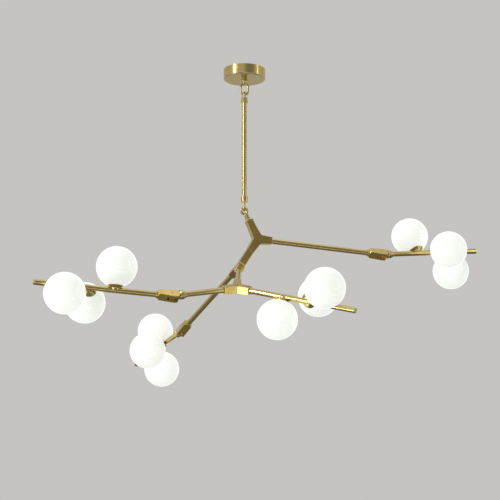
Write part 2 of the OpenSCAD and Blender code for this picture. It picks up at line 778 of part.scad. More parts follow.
module front_holders() { color(brass) in_each_holder(front_row) holder(); }
module front_sockets() { color("ivory") in_each_holder(front_row) socket(); }
module front_bulbs() { color("lightyellow") in_each_holder(front_row) bulb(); }

// ---- the assembly ----

ceiling_bracket();
canopy();
canopy_nipple();
nipple_nuts();
terminal_block();
ceiling_eye();
drop_rod();
rod_loops();
hub_eye();
hub_1();
hub_2();
hub_3();
hub_screws();
joining_nipples();
link_rod();
right_inner_rod();
rear_inner_rod();
left_inner_rod();
right_tongue();
rear_tongue();
left_tongue();
right_fork();
rear_fork();
left_fork();
frame_knuckle_screws();
left_knuckle_screws();
right_grub_screw();
rear_grub_screw();
front_rod();
front_end_cap();
front_holders();
front_sockets();
front_bulbs();
for (i = [0:globe_count - 1])
    branch_globe(front_row, i);
for (b = BRANCHES) {
    outer_rod(b);
    end_cap(b);
    holders(b);
    sockets(b);
    bulbs(b);
    for (i = [0:globe_count - 1])
        branch_globe(row_of(b), i);
}
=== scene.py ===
# Looks of the branch chandelier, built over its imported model. Lengths are metres and +Z is up.
import math

import bpy
import numpy as np
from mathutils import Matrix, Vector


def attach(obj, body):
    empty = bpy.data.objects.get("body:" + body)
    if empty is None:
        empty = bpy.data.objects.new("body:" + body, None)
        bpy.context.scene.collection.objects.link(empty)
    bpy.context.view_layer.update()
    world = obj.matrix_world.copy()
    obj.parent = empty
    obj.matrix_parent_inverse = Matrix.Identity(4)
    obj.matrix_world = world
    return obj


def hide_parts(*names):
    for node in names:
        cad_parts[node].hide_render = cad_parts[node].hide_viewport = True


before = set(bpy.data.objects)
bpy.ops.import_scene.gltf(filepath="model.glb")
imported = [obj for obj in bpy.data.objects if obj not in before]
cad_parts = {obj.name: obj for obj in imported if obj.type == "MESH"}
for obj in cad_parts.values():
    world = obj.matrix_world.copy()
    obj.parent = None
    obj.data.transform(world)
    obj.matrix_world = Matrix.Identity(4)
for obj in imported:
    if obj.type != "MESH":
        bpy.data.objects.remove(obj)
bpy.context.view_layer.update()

# ---- Studio ----
# A plain pale floor far below the object, and pale surroundings with a dim patch beside the camera.
# Two tall soft lamps stand to the left and the right, a broad one hangs overhead, and two low ones
# in front light the undersides.
bpy.context.scene.view_settings.view_transform = "Standard"


def add(tree, kind, values=(), **settings):
    """A shader node. Its settings are given by name. Each value is a number for an input, or
    another node's output, which is joined to that input."""
    made = tree.nodes.new("ShaderNode" + kind)
    for name, value in settings.items():
        setattr(made, name, value)
    for name, value in dict(values).items():
        if isinstance(value, bpy.types.NodeSocket):
            tree.links.new(value, made.inputs[name])
        else:
            made.inputs[name].default_value = value
    return made


pale, floor_z = (0.56, 0.55, 0.535, 1), -2.6
share_for_matt = 0.3        # share of the surroundings' light that matt surfaces get
patch_way, patch_dim = (0.50, -0.85, 0.15), 0.42
patch_rim, patch_core = 0.78, 0.98        # cosines of the angle from the patch's middle

world = bpy.data.worlds.new("surroundings")
world.use_nodes = True
bpy.context.scene.world = world
room = world.node_tree
ray = add(room, "LightPath")
seen = add(room, "Math", {0: ray.outputs["Is Camera Ray"], 1: ray.outputs["Is Glossy Ray"]}, operation="ADD")
seen = add(room, "Math", {0: seen.outputs[0], 1: ray.outputs["Is Transmission Ray"]}, operation="ADD")
level = add(room, "MapRange", {"Value": seen.outputs[0], "To Min": share_for_matt, "To Max": 1.0})
way = add(room, "TexCoord").outputs["Generated"]
patch = add(room, "VectorMath", {0: way, 1: patch_way}, operation="DOT_PRODUCT")
patch = add(
    room, "MapRange",
    {"Value": patch.outputs["Value"], "From Min": patch_rim, "From Max": patch_core,
     "To Min": 1.0, "To Max": patch_dim},
    interpolation_type="SMOOTHSTEP",
)
patch = add(room, "Math", {0: patch.outputs[0], 1: ray.outputs["Is Camera Ray"]}, operation="MAXIMUM")
level = add(room, "Math", {0: level.outputs[0], 1: patch.outputs[0]}, operation="MULTIPLY")
sky = room.nodes["Background"]
sky.inputs["Color"].default_value = pale
room.links.new(level.outputs[0], sky.inputs["Strength"])

bpy.ops.mesh.primitive_plane_add(size=10, location=(0, 0, floor_z))
floor = bpy.context.object
floor.name = "floor"
paint = bpy.data.materials.new("floor_paint")
paint.use_nodes = True
paint.node_tree.nodes["Principled BSDF"].inputs["Base Color"].default_value = pale
paint.node_tree.nodes["Principled BSDF"].inputs["Roughness"].default_value = 0.8
floor.data.materials.append(paint)

# Each lamp's name, place, width, height and power in watts. All face the middle of the object.
for name, place, wide, tall, power in (
    ("left_lamp", (-3.2, -2.3, 0.2), 0.5, 2.6, 50),
    ("right_lamp", (3.7, -0.9, 0.2), 0.3, 2.4, 7),
    ("top_lamp", (0.5, 0.2, 2.6), 3.4, 2.6, 14),
    ("low_left_lamp", (-2.4, -1.6, -2.25), 0.9, 0.5, 11),
    ("low_front_lamp", (0.95, -1.85, -2.35), 2.9, 0.5, 6),
):
    lamp = bpy.data.objects.new(name, bpy.data.lights.new(name, "AREA"))
    lamp.data.shape, lamp.data.size, lamp.data.size_y, lamp.data.energy = "RECTANGLE", wide, tall, power
    lamp.location = place
    aim = Vector((0.05, 0, -0.6)) - lamp.location
    lamp.rotation_euler = aim.to_track_quat("-Z", "Y").to_euler()
    bpy.context.collection.objects.link(lamp)

camera = bpy.data.objects.new("camera", bpy.data.cameras.new("camera"))
camera.data.lens, camera.data.sensor_width = 115.2, 36
camera.location = (0.0179, -4.8854, -1.6860)
camera.rotation_euler = (math.radians(102.622), 0, 0)
bpy.context.collection.objects.link(camera)
bpy.context.scene.camera = camera

# ---- Ceiling fixing ----
# Hidden in the canopy: the slotted steel bar, the threaded nipple, its nuts and the terminal block.
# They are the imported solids, in zinc-plated steel and white moulded plastic, and the nipples inside
# the frame's joints are of the same steel.


def plain(name, low, high, rough, metal, grain, depth):
    """A finish that needs no UV map: a fine grain of the given scale in the solid drives gloss and a
    shallow bump, and slower clouds drift between the low and the high colour."""
    made = bpy.data.materials.new(name)
    made.use_nodes = True
    tree = made.node_tree
    shader = tree.nodes["Principled BSDF"]
    shader.inputs["Metallic"].default_value = metal
    place = add(tree, "TexCoord")
    fine = add(tree, "TexNoise", {"Vector": place.outputs["Object"], "Scale": grain, "Detail": 5})
    slow = add(tree, "TexNoise", {"Vector": place.outputs["Object"], "Scale": grain / 12, "Detail": 2})
    tone = add(tree, "Mix", {0: slow.outputs[0], 6: (*low, 1), 7: (*high, 1)}, data_type="RGBA")
    gloss = add(
        tree, "MapRange",
        {"Value": fine.outputs[0], "From Min": 0.3, "From Max": 0.7,
         "To Min": rough * 0.8, "To Max": rough * 1.3},
    )
    bump = add(tree, "Bump", {"Height": fine.outputs[0], "Strength": depth, "Distance": 0.0002})
    tree.links.new(tone.outputs[2], shader.inputs["Base Color"])
    tree.links.new(gloss.outputs[0], shader.inputs["Roughness"])
    tree.links.new(bump.outputs[0], shader.inputs["Normal"])
    return made


def dress(material, *names):
    """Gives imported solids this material."""
    for name in names:
        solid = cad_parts[name]
        if not solid.material_slots:
            solid.data.materials.append(material)
        for held in solid.material_slots:
            held.material = material


zinc = plain("zinc_plated_steel", (0.48, 0.49, 0.50), (0.66, 0.66, 0.64), 0.34, 1, 420, 0.25)
plastic = plain("moulded_white_plastic", (0.72, 0.72, 0.69), (0.80, 0.80, 0.77), 0.42, 0, 900, 0.2)
dress(zinc, "ceiling_bracket", "canopy_nipple", "nipple_nuts", "joining_nipples")
dress(plastic, "terminal_block")

# ---- Canopy ----
# A shallow cup spun from brass sheet, with a rolled lower edge, brushed round its axis and
# lacquered. The nipple's nut holds it against the ceiling.
guard = 0.0008        # how far beside an edge's rounding the extra points stand that keep faces flat


def move(x, y, z):
    """The matrix of a shift."""
    made = np.eye(4)
    made[:3, 3] = x, y, z
    return made


def turn(axis, degrees):
    """The matrix of a turn about one axis of X, Y, Z."""
    made = np.eye(4)
    i, j = {"X": (1, 2), "Y": (2, 0), "Z": (0, 1)}[axis]
    a = math.radians(degrees)
    made[i, i] = made[j, j] = math.cos(a)
    made[i, j], made[j, i] = -math.sin(a), math.sin(a)
    return made


def rounded(corners, radii, closed=True, steps=6):
    """A line through the corners in a plane, each corner replaced by an arc of its radius that
    touches both its sides. Also returns an edge value: 1 on the arcs, and 0 on points set just
    beside them. A closed line ends where it starts."""
    corners = np.asarray(corners, float)
    count = len(corners)
    runs = []
    for i, radius in enumerate(np.broadcast_to(radii, count)):
        corner = corners[i]
        if radius == 0 or (not closed and i in (0, count - 1)):
            runs.append((corner[None], 0.0))
            continue
        back, on = corners[i - 1] - corner, corners[(i + 1) % count] - corner
        back, on = back / np.linalg.norm(back), on / np.linalg.norm(on)
        half = math.acos(max(-1, min(1, back @ on))) / 2
        centre = corner + (back + on) / np.linalg.norm(back + on) * radius / math.sin(half)
        reach, sweep = radius / math.tan(half), math.pi - 2 * half
        t = np.linspace(0, 1, steps + 1)[:, None]
        first, last = corner + back * reach - centre, corner + on * reach - centre
        arc = (np.sin((1 - t) * sweep) * first + np.sin(t * sweep) * last) / math.sin(sweep)
        runs.append((centre + arc, 1.0))
    points, edge = [], []
    for i, (run, value) in enumerate(runs):
        points.append(run)
        edge.append(np.full(len(run), value))
        if i == count - 1 and not closed:
            break
        gap = runs[(i + 1) % count][0][0] - run[-1]
        length = np.linalg.norm(gap)
        if length > 4 * guard:
            points.append(run[-1] + np.outer((guard / length, 1 - guard / length), gap))
            edge.append(np.zeros(2))
    if closed:
        points.append(points[0][:1])
        edge.append(edge[0][:1])
    return np.concatenate(points), np.concatenate(edge)


def turned(profile, at, count=72):
    """A profile of radius and height turned about Z, as a grid of profile point by angle. UV is the
    length along the profile and round it."""
    line, edge = profile
    angle = np.linspace(0, 2 * math.pi, count + 1)
    radius, height = line[:, :1], line[:, 1:]
    points = np.stack([radius * np.cos(angle), radius * np.sin(angle), height + 0 * angle], -1)
    length = np.append(0, np.cumsum(np.linalg.norm(np.diff(line, axis=0), axis=1)))
    uv = np.stack(np.broadcast_arrays(length[:, None], angle * radius.max()), -1)
    return points @ at[:3, :3].T + at[:3, 3], uv, edge[:, None] + 0 * angle


def piece(name, sheets, material, body, slot, *stands_for):
    """One mesh of closed sheets. Each sheet is a grid of points whose neighbours join into quads.
    Points that meet are welded, so poles and seams close, and a sheet whose signed volume is
    negative is turned over."""
    points, corners, sizes, uvs, edges, offset = [], [], [], [], [], 0
    for grid, uv, edge in sheets:
        rows, columns = grid.shape[:2]
        index = np.arange(rows * columns).reshape(rows, columns)
        quads = np.stack([index[:-1, :-1], index[1:, :-1], index[1:, 1:], index[:-1, 1:]], -1).reshape(-1, 4)
        flat = grid.reshape(-1, 3) - grid.reshape(-1, 3).mean(0)
        corner = flat[quads]
        volume = sum((corner[:, 0] * np.cross(corner[:, a], corner[:, a + 1])).sum() for a in (1, 2))
        if volume < 0:
            quads = quads[:, ::-1]
        near = np.round(grid.reshape(-1, 3), 7)
        _, first, joined = np.unique(near, axis=0, return_index=True, return_inverse=True)
        welded = joined.reshape(-1)[quads]
        kept = welded != np.roll(welded, 1, axis=1)
        kept[kept.sum(1) < 3] = False
        points.append(grid.reshape(-1, 3)[first])
        edges.append(edge.reshape(-1)[first])
        corners.append(welded[kept] + offset)
        uvs.append(uv.reshape(-1, 2)[quads[kept]])
        sizes.append(kept.sum(1)[kept.any(1)])
        offset += len(first)
    corners, sizes = np.concatenate(corners), np.concatenate(sizes)
    mesh = bpy.data.meshes.new(name)
    faces = [face.tolist() for face in np.split(corners, np.cumsum(sizes)[:-1])]
    mesh.from_pydata(np.concatenate(points).tolist(), [], faces)
    uvs, edges = np.concatenate(uvs).astype(np.float32), np.concatenate(edges).astype(np.float32)
    mesh.uv_layers.new(name="UVMap").data.foreach_set("uv", uvs.ravel())
    mesh.attributes.new("edge", "FLOAT", "POINT").data.foreach_set("value", edges)
    mesh.shade_smooth()
    mesh.set_sharp_from_angle(angle=math.radians(38))
    mesh.materials.append(material)
    made = bpy.data.objects.new(name, mesh)
    bpy.context.collection.objects.link(made)
    made.modifiers.new("flat_faces", "WEIGHTED_NORMAL").keep_sharp = True
    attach(made, body)
    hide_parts(*stands_for)
    return made


def brushed(name, base, rubbed_and_highlit, rough, strokes):
    """Lacquered metal brushed along the UV map: fine strokes drive gloss and a shallow bump, the
    alloy's colour drifts in slow clouds, smudges dull the lacquer, and rounded edges show a lighter
    colour between strokes, partly rubbed wear and partly a painted highlight."""
    made = bpy.data.materials.new(name)
    made.use_nodes = True
    tree = made.node_tree
    shader = tree.nodes["Principled BSDF"]
    shader.inputs["Metallic"].default_value = 1
    place = add(tree, "TexCoord")
    lines = add(tree, "Mapping", {"Vector": place.outputs["UV"], "Scale": strokes})
    stroke = add(tree, "TexNoise", {"Vector": lines.outputs[0], "Scale": 1, "Detail": 4, "Roughness": 0.6})
    cloud = add(tree, "TexNoise", {"Vector": place.outputs["Object"], "Scale": 11, "Detail": 3})
    smudge = add(tree, "TexNoise", {"Vector": place.outputs["Object"], "Scale": 46, "Detail": 4})
    darker, lighter = (0.86 * c for c in base), (min(1, 1.12 * c) for c in base)
    tone = add(tree, "Mix", {0: cloud.outputs[0], 6: (*darker, 1), 7: (*lighter, 1)}, data_type="RGBA")
    # Painted highlight, partly rubbed wear: the lighter second colour on rounded edges and corners, broken up
    # by the strokes.
    rim = add(tree, "Attribute", attribute_name="edge")
    rub_and_highlight = add(tree, "Math", {0: rim.outputs["Fac"], 1: stroke.outputs[0]}, operation="MULTIPLY")
    colour = add(tree, "Mix", {0: rub_and_highlight.outputs[0], 6: tone.outputs[2], 7: (*rubbed_and_highlit, 1)}, data_type="RGBA")
    gloss = add(
        tree, "MapRange",
        {"Value": stroke.outputs[0], "From Min": 0.3, "From Max": 0.7,
         "To Min": rough - 0.05, "To Max": rough + 0.07},
    )
    film = add(
        tree, "MapRange",
        {"Value": smudge.outputs[0], "From Min": 0.45, "From Max": 0.75, "To Min": 0, "To Max": 0.07},
    )
    total = add(tree, "Math", {0: gloss.outputs[0], 1: film.outputs[0]}, operation="ADD")
    bump = add(tree, "Bump", {"Height": stroke.outputs[0], "Strength": 0.12, "Distance": 0.00005})
    tree.links.new(colour.outputs[2], shader.inputs["Base Color"])
    tree.links.new(total.outputs[0], shader.inputs["Roughness"])
    tree.links.new(bump.outputs[0], shader.inputs["Normal"])
    return made


# The second colour is the lighter one on rounded edges and corners: a painted highlight, partly rubbed wear.
brass, rubbed_and_highlit_brass = (0.62, 0.48, 0.19), (0.82, 0.71, 0.40)
turned_brass = brushed("turned_brass", brass, rubbed_and_highlit_brass, 0.20, (1700, 9, 1))
drawn_brass = brushed("drawn_brass", brass, rubbed_and_highlit_brass, 0.15, (7, 1500, 1))

canopy_r, canopy_h, canopy_wall, nipple_hole_r, bend_r = 0.067, 0.032, 0.0015, 0.005, 0.003
inside_r, inside_z = canopy_r - canopy_wall, canopy_wall - canopy_h
cup = rounded(
    [(nipple_hole_r, inside_z), (inside_r, inside_z), (inside_r, 0), (canopy_r, 0), (canopy_r, -canopy_h),
     (nipple_hole_r, -canopy_h)],
    [0, bend_r - canopy_wall, 0.0003, 0.0003, bend_r, 0],
)
piece(
    "canopy_cup", [turned(cup, move(0, 0, 0), 144)],
    turned_brass, "ceiling_mount", "champagne_brass", "canopy",
)

# ---- Ceiling eye ----
# A turned neck under the canopy that narrows into a long closed eye of round brass wire.
# The eye's plane faces the front.


def wire(path, normal, radius, at, count=28):
    """Round wire along a flat path: a circle square to the path at each point, closed to a point at
    both ends unless the path meets itself. UV is the length along the wire and round it."""
    path = np.asarray(path, float)
    ring = np.allclose(path[0], path[-1])
    ahead = np.gradient(path, axis=0)
    if ring:
        ahead[0] = ahead[-1] = path[1] - path[-2]
    ahead /= np.linalg.norm(ahead, axis=1)[:, None]
    size = np.full(len(path), float(radius))
    if not ring:
        path = np.concatenate([path[:1], path, path[-1:]])
        ahead = np.concatenate([ahead[:1], ahead, ahead[-1:]])
        size = np.concatenate([[0], size, [0]])
    angle = np.linspace(0, 2 * math.pi, count + 1)
    side = np.cross(ahead, normal)
    circle = np.cos(angle)[:, None] * np.asarray(normal, float) + np.sin(angle)[:, None] * side[:, None]
    points = path[:, None] + size[:, None, None] * circle
    length = np.append(0, np.cumsum(np.linalg.norm(np.diff(path, axis=0), axis=1)))
    uv = np.stack(np.broadcast_arrays(length[:, None], angle * radius), -1)
    return points @ at[:3, :3].T + at[:3, 3], uv, np.zeros(points.shape[:2])


link_r = 0.0035
eye_w, eye_bottom, eye_straight = 0.0115, -0.0835, 0.013
half_turn = np.linspace(0, math.pi, 33)
bow = np.stack([eye_w * np.cos(half_turn), 0 * half_turn, eye_w * np.sin(half_turn)], -1)
lower = bow * (-1, 1, -1) + (0, 0, eye_bottom + eye_w)
upper = bow + (0, 0, eye_bottom + eye_w + eye_straight)
eye = np.concatenate([upper, lower, upper[:1]])
stalk_r, stalk_tip_r, stalk_waist, stalk_end = 0.009, 0.006, -0.039, -0.0475
stalk = rounded(
    [(0, -canopy_h), (stalk_r, -canopy_h), (stalk_r, stalk_waist), (stalk_tip_r, stalk_end), (0, stalk_end)],
    [0, 0.0005, 0.003, 0.0025, 0], closed=False,
)
piece(
    "ceiling_eye_and_neck",
    [turned(stalk, move(0, 0, 0)), wire(eye, (0, 1, 0), link_r, move(0, 0, 0))],
    turned_brass, "ceiling_mount", "champagne_brass", "ceiling_eye",
)

# ---- Drop rod ----
# A drawn brass tube between two turned collars, each with a brazed wire loop. The upper loop
# hangs in the ceiling eye and the longer lower one carries the hub eye.
drop_r, drop_bore_r, drop_seat = 0.00775, 0.00625, 0.010
collar_r, collar_end_r, collar_l = 0.0115, 0.0095, 0.018
upper_collar_top, lower_collar_bottom = -0.0917, -0.4377
loop_r, loop_root, upper_loop_h, lower_loop_h = 0.0075, 0.004, 0.019, 0.030


def loop_and_collar(top, height, up):
    """A U of wire in the YZ plane that stands the given height on a collar, with its closed end up
    or down."""
    flip = move(0, 0, top) @ (np.eye(4) if up else turn("X", 180))
    bow_z = height - link_r - loop_r
    bow = np.stack([0 * half_turn, loop_r * np.cos(half_turn), bow_z + loop_r * np.sin(half_turn)], -1)
    path = np.concatenate([[(0, loop_r, -loop_root)], bow, [(0, -loop_r, -loop_root)]])
    collar = rounded(
        [(0, 0), (collar_end_r, 0), (collar_r, -collar_l), (drop_r, -collar_l), (drop_r, -drop_seat),
         (0, -drop_seat)],
        [0, 0.0012, 0.0016, 0.0002, 0.0005, 0], closed=False,
    )
    return [wire(path, (1, 0, 0), link_r, flip), turned(collar, flip)]


def tube(radius, bore, start, end, at):
    """A tube along Z with its four rims broken."""
    return turned(rounded([(bore, start), (radius, start), (radius, end), (bore, end)], 0.0003, steps=3), at)


upper_end = loop_and_collar(upper_collar_top, upper_loop_h, True)
lower_end = loop_and_collar(lower_collar_bottom, lower_loop_h, False)
piece(
    "collars_and_loops", upper_end + lower_end,
    turned_brass, "drop_rod_body", "champagne_brass", "rod_loops",
)
piece(
    "drop_tube",
    [tube(drop_r, drop_bore_r, lower_collar_bottom + drop_seat, upper_collar_top - drop_seat, move(0, 0, 0))],
    drawn_brass, "drop_rod_body", "champagne_brass", "drop_rod",
)

# ---- Hub eye ----
# A round eye of brass wire on a short tapered shank, screwed into the first hub. The shank leans
# with the hub, and the eye's plane holds the line that it leans along.
lean, turn_round = 27.7, 25
hub_eye_r, hub_eye_l, lower_hook = 0.0095, 0.0314, -0.4569
tilt = math.atan(math.tan(math.radians(lean)) * math.sin(math.radians(turn_round)))
roll = math.degrees(math.atan2(
    -math.sin(math.radians(turn_round)), math.cos(math.radians(turn_round)) * math.cos(math.radians(lean))))
eye_middle = move(0, hub_eye_r * math.sin(tilt), lower_hook - hub_eye_r * math.cos(tilt))
eye_at = eye_middle @ turn("Z", turn_round) @ turn("Y", -lean)
whole_turn = np.linspace(0, 2 * math.pi, 65)
circle = hub_eye_r * np.stack([np.cos(whole_turn), 0 * whole_turn, np.sin(whole_turn)], -1)
shank_r, shank_end_r, flange_r, flange_l, thread_r, thread_l = 0.007, 0.0083, 0.0095, 0.004, 0.0045, 0.010
flange_z, thread_end = flange_l - hub_eye_l, -hub_eye_l - thread_l
shank = rounded(
    [(0, -hub_eye_r), (shank_r, -hub_eye_r), (shank_end_r, flange_z), (flange_r, flange_z),
     (flange_r, -hub_eye_l), (thread_r, -hub_eye_l), (thread_r, thread_end), (0, thread_end)],
    [0, 0.0025, 0.0004, 0.0006, 0.0005, 0, 0.0005, 0], closed=False,
)
piece(
    "hub_eye_and_shank",
    [wire(circle, (0, 1, 0), link_r, eye_at @ turn("Z", roll)), turned(shank, eye_at)],
    turned_brass, "frame_body", "champagne_brass", "hub_eye",
)

# ---- Hubs ----
# Three flat Y-shaped brass castings. Their arms widen into hollow corners, and their faces are
# milled and their edges eased. The second is screwed straight to the first, and a round rod joins
# the third.


def plate(outline, half, bevel, at):
    """A flat plate square to Z. At each station through the thickness the outline is drawn in along
    its own normals by the rounding of the rim, and on the faces it is drawn in to the middle."""
    line, corner = outline
    line, corner = line[:-1], corner[:-1]
    if (line[:, 0] * np.roll(line[:, 1], -1) - line[:, 1] * np.roll(line[:, 0], -1)).sum() < 0:
        line, corner = line[::-1], corner[::-1]
    ahead = np.roll(line, -1, 0) - line
    out = np.stack([ahead[:, 1], -ahead[:, 0]], -1) / np.linalg.norm(ahead, axis=1)[:, None]
    before = np.roll(out, 1, 0)
    out = (out + before) / (1 + (out * before).sum(1))[:, None]
    line, out, corner = (np.concatenate([a, a[:1]]) for a in (line, out, corner))
    a = np.linspace(0, math.pi / 2, 6)
    inset = np.concatenate([[bevel + guard], bevel * (1 - np.sin(a)), [0]])
    height = np.concatenate([[half], half - bevel * (1 - np.cos(a)), [half - bevel - guard]])
    rim = np.concatenate([[0], np.ones(6), [0]])
    rows = line - inset[:, None, None] * out
    top = np.concatenate([0 * rows[:1], rows])
    height, rim = np.append(half, height), np.append(0, rim)
    flat = np.concatenate([top, top[::-1]])
    height, rim = np.concatenate([height, -height[::-1]]), np.concatenate([rim, rim[::-1]])
    tall = np.broadcast_to(height[:, None], flat.shape[:2])
    points = np.concatenate([flat, tall[..., None]], -1)
    uv = np.stack([flat[..., 0], flat[..., 1] + tall], -1)
    inner = (np.abs(tall) < half - bevel / 2) * corner
    return points @ at[:3, :3].T + at[:3, 3], uv, np.maximum(rim[:, None] + 0 * inner, inner)


def arm(hub, angle):
    """The frame of a rod on one arm of a hub: Z runs out along the arm."""
    return hub @ turn("Z", angle) @ turn("Y", 90)


right_arm, left_arm, arm_l, first_stem_l, stem_l, link_l = -30, 210, 0.046, 0.067, 0.062, 0.151
hub_half, arm_half, root_half, taper_l, hollow, eased = 0.01125, 0.01125, 0.0145, 0.044, 0.008, 0.0006
hub_1 = eye_at @ turn("Z", -7) @ move(0, 0, -hub_eye_l - first_stem_l) @ turn("X", 90)
hub_2 = arm(hub_1, left_arm) @ move(0, 0, arm_l + stem_l) @ turn("Z", 3.3) @ turn("X", -90)
hub_3 = arm(hub_2, left_arm) @ move(0, 0, arm_l + link_l + stem_l) @ turn("Z", -145.3) @ turn("X", -90)
crook = root_half / math.sin(math.radians(60))
# The hubs and forks take a copy of the brass with less green and blue, standing in for their deeper shade:
# painted shade.
milled_shaded_brass = brushed("milled_shaded_brass", (0.62, 0.45, 0.13), rubbed_and_highlit_brass, 0.24, (14, 1300, 1))
for name, at, upper_l in (("hub_1", hub_1, first_stem_l), ("hub_2", hub_2, stem_l), ("hub_3", hub_3, stem_l)):
    corners = []
    for bisector, length in ((30, upper_l), (150, arm_l), (270, arm_l)):
        b, e = math.radians(bisector), math.radians(bisector + 60)
        corners.append((crook * math.cos(b), crook * math.sin(b)))
        for out, side in ((taper_l, -arm_half), (length, -arm_half), (length, arm_half), (taper_l, arm_half)):
            corners.append((out * math.cos(e) - side * math.sin(e), out * math.sin(e) + side * math.cos(e)))
    outline = rounded(corners, [hollow, 0, eased, eased, 0] * 3, steps=14)
    piece(
        name + "_casting", [plate(outline, hub_half, 0.0009, at)],
        milled_shaded_brass, "frame_body", "champagne_brass", name,
    )

# ---- Hub screws ----
# One slotted copper-coloured screw in the middle of each hub's face. Its head lies on the face
# and its short shank is screwed into the casting.


def slotted_head(radius, height, slot, at):
    """A flat round head on Z = 0 with a straight slot: a thin disc, and on it the two segments that
    the slot leaves, as plates that sink a little into the disc."""
    deep, sunk, middle = height * 0.5, 0.00005, radius * 0.55
    disc = [(0, 0), (radius, 0), (radius, height - deep), (0, height - deep)]
    sheets = [turned(rounded(disc, [0, 0, sunk, 0], closed=False, steps=2), at, 48)]
    start = math.asin(slot / 2 / radius)
    for side in (0, 180):
        a = np.linspace(start, math.pi - start, 25)
        line = np.stack([radius * np.cos(a), radius * np.sin(a) - middle], -1)
        outline = np.concatenate([line, line[:1]]), np.zeros(26)
        seat = at @ turn("Z", side) @ move(0, middle, height - deep / 2 - sunk)
        sheets.append(plate(outline, deep / 2 + sunk, deep * 0.3, seat))
    return sheets


screw_head_r, screw_head_h, screw_slot, screw_r, screw_l = 0.0045, 0.0016, 0.001, 0.0025, 0.005
# Its second colour is the lighter one on rounded edges: a painted highlight, partly rubbed wear.
copper = brushed("copper_screw", (0.88, 0.46, 0.11), (0.95, 0.66, 0.28), 0.22, (900, 900, 1))
screw_shank = rounded(
    [(0, -screw_l), (screw_r, -screw_l), (screw_r, 0), (0, 0)], [0, 0.0005, 0, 0], closed=False, steps=2)
screws = []
for at in (hub_1, hub_2, hub_3):
    face = at @ move(0, 0, hub_half)
    screws += slotted_head(screw_head_r, screw_head_h, screw_slot, face @ turn("Z", 35))
    screws.append(turned(screw_shank, face, 32))
piece("hub_face_screws", screws, copper, "frame_body", "copper", "hub_screws")

# ---- Frame rods ----
# Drawn brass tubes of one size: the link between two hubs, and the inner rods from the hubs out to
# the knuckles. Each is pushed on a nipple in its hub, and an inner rod enters its knuckle's end.
rod_r, bore_r, entry, half_l = 0.0085, 0.007, 0.012, 0.046
piece(
    "link_tube", [tube(rod_r, bore_r, 0, link_l, arm(hub_2, left_arm) @ move(0, 0, arm_l))],
    drawn_brass, "frame_body", "champagne_brass", "link_rod",
)
# Each inner rod's hub, its arm, its length up to the knuckle and the turn of the hinge about it.
inner = {
    "right": (hub_1, right_arm, 0.328, 134),
    "rear": (hub_2, right_arm, 0.284, 165.8),
    "left": (hub_3, left_arm, 0.124, 155.2),
}
hinges = {}
for side, (hub, angle, length, hinge_turn) in inner.items():
    rod_at = arm(hub, angle) @ move(0, 0, arm_l)
    hinges[side] = rod_at @ move(0, 0, length + half_l) @ turn("Z", hinge_turn)
    piece(
        side + "_inner_tube", [tube(rod_r, bore_r, 0, length + entry, rod_at)],
        drawn_brass, "frame_body", "champagne_brass", side + "_inner_rod",
    )

# ---- Knuckle tongues ----
# The short half of each knuckle: a ring on the rod, a turned body with broken corners, and the
# flat tongue that the hinge screw crosses. The right and rear ones are on the outer rods.
ring_r, ring_l, body_r, shoulder, slope = 0.011, 0.005, 0.014, 0.0248, 0.003
tongue_r, tongue_half, waist, tongue_root = 0.012, 0.004, 0.010, -0.0285
bends = {"right": 13.7, "rear": 14.9, "left": -18.5}
outward = {side: hinges[side] @ turn("X", bends[side]) for side in hinges}
back = turn("X", 180)
forks = {"right": hinges["right"] @ back, "rear": hinges["rear"] @ back, "left": outward["left"]}
tongues = {"right": outward["right"] @ back, "rear": outward["rear"] @ back, "left": hinges["left"]}
fork_bodies = {"right": "frame_body", "rear": "frame_body", "left": "left_branch"}
tongue_bodies = {"right": "right_branch", "rear": "rear_branch", "left": "frame_body"}
socket_end, ring_end = entry - half_l, ring_l - half_l
body = rounded(
    [(0, socket_end), (rod_r, socket_end), (rod_r, -half_l), (ring_r, -half_l), (ring_r, ring_end),
     (body_r, ring_end + slope), (body_r, -shoulder - slope), (body_r - slope, -shoulder), (0, -shoulder)],
    [0, 0, 0.0002, 0.0008, 0.0006, 0.0012, 0.0012, 0.0006, 0], closed=False,
)
lowest = math.asin(waist / tongue_r)
a = np.linspace(lowest - math.pi, math.pi - lowest, 41)
round_end = np.stack([tongue_r * np.sin(a), tongue_r * np.cos(a)], -1)
root = [(-waist, tongue_root)]
tongue_line = np.concatenate([root, round_end, [(waist, tongue_root)], root])
tongue_outline = tongue_line, np.zeros(len(tongue_line))
on_x = np.array([[0, 0, 1, 0], [1, 0, 0, 0], [0, 1, 0, 0], [0, 0, 0, 1.0]])        # lays a plate square to X
for side, at in tongues.items():
    sheets = [turned(body, at), plate(tongue_outline, tongue_half, 0.0004, at @ on_x)]
    piece(side + "_tongue_body", sheets, turned_brass, tongue_bodies[side], "champagne_brass", side + "_tongue")

# ---- Knuckle forks ----
# The long half of each knuckle: a milled brass block with two round-ended cheeks about the tongue,
# narrowing to a ring at its rod. The hinge screw's head is let into one cheek.


